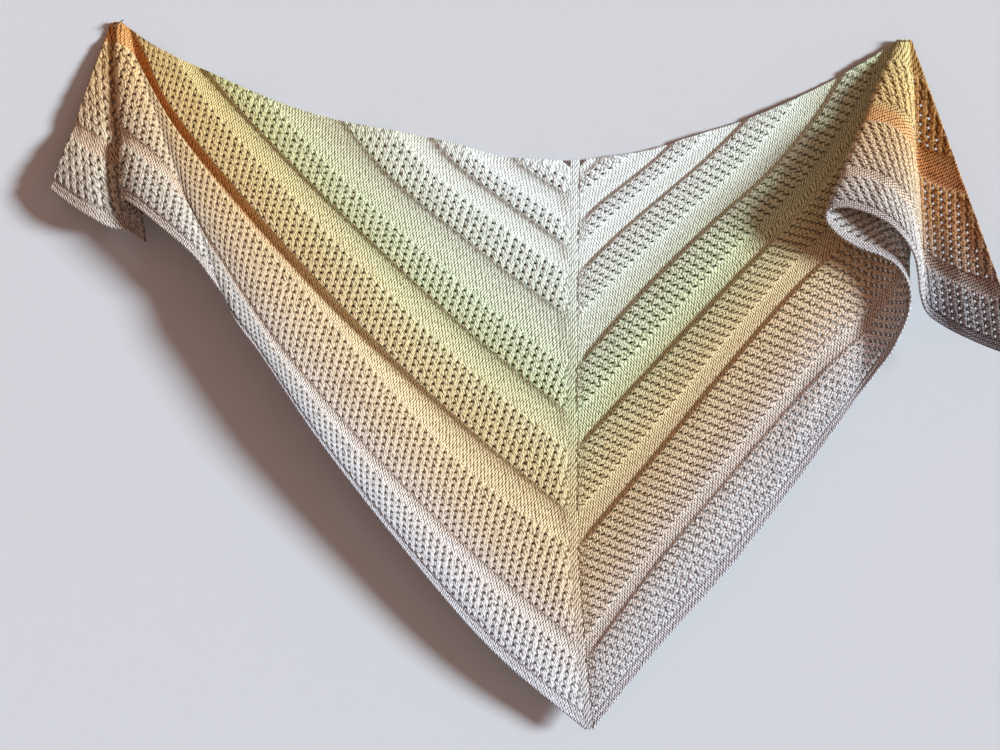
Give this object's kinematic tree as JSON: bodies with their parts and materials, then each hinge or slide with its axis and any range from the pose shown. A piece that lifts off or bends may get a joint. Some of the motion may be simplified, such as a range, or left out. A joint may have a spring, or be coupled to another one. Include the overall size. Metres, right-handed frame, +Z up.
{
  "type": "knitted triangular prayer shawl on two wall pins",
  "caption": "Hand-knitted triangular shawl with a centre spine and chevron bands of smooth and eyelet knitting, hung from wall pins with both ends folded over.",
  "frame": {"origin": "on the axis of the left pin, where it goes into the wall", "axes": "+X along the wall to the viewer's right, +Z up, +Y into the wall, so the shawl's right side faces -Y"},
  "size_m": [1.3418, 0.1225, 0.9871],
  "materials": {
    "knit_yarn": "matt wool-blend yarn, cream through green, yellow and peach to lilac grey",
    "pin_steel": "dull plated steel wire"
  },
  "bodies": {
    "root": {"spine_panel": "knit_yarn", "wing_left": "knit_yarn", "fold_left_front": "knit_yarn", "fold_left_return": "knit_yarn", "tail_left": "knit_yarn", "wing_right": "knit_yarn", "fold_right_turn": "knit_yarn", "fold_right_return": "knit_yarn", "fold_right_front": "knit_yarn", "tail_right": "knit_yarn", "pin_left": "pin_steel", "pin_right": "pin_steel"}
  },
  "joints": []
}
